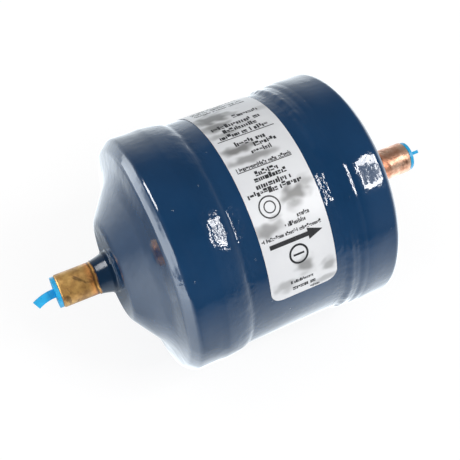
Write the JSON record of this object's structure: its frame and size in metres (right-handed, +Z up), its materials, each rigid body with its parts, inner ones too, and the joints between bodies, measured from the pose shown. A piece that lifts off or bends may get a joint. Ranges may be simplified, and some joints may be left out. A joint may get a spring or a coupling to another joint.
{
  "type": "filter drier",
  "caption": "Welded steel liquid-line filter drier with domed ends, copper solder stubs closed by plastic dust plugs, and a spring-loaded desiccant core inside.",
  "frame": {"origin": "middle of the shell on its axis, half way between the two hub faces", "axes": "+X along the shell's axis in the direction of flow, from the inlet stub to the outlet stub; +Z up with the label over the top; -Y is the side that the lower end of the label faces"},
  "size_m": [0.1132, 0.0626, 0.0626],
  "materials": {
    "shell_paint": "glossy",
    "copper": "brushed",
    "plug_plastic": "glossy",
    "label_film": "satin",
    "spring_steel": "satin",
    "plate_steel": "satin",
    "wire_mesh": "matte",
    "felt": "matte",
    "desiccant": "matte",
    "gasket_fibre": "matte"
  },
  "bodies": {
    "drier": {"body_tube": "shell_paint", "inlet_cap": "shell_paint", "outlet_cap": "shell_paint", "inlet_weld": "shell_paint", "outlet_weld": "shell_paint", "inlet_stub": "copper", "outlet_stub": "copper", "inlet_braze": "shell_paint", "outlet_braze": "shell_paint", "label": "label_film", "core_spring": "spring_steel", "spring_plate": "plate_steel", "inlet_screen": "wire_mesh", "inlet_felt": "felt", "desiccant_core": "desiccant", "core_gasket": "gasket_fibre", "outlet_felt": "felt", "outlet_screen": "wire_mesh", "outlet_strainer": "plate_steel"},
    "inlet_plug": {"inlet_plug": "plug_plastic"},
    "outlet_plug": {"outlet_plug": "plug_plastic"}
  },
  "joints": [
    {"name": "inlet_plug_pull", "type": "slide", "parent": "drier", "child": "inlet_plug", "axis": [-1, 0, 0], "range_m": [0, 0.015]},
    {"name": "outlet_plug_pull", "type": "slide", "parent": "drier", "child": "outlet_plug", "axis": [1, 0, 0], "range_m": [0, 0.015]}
  ]
}
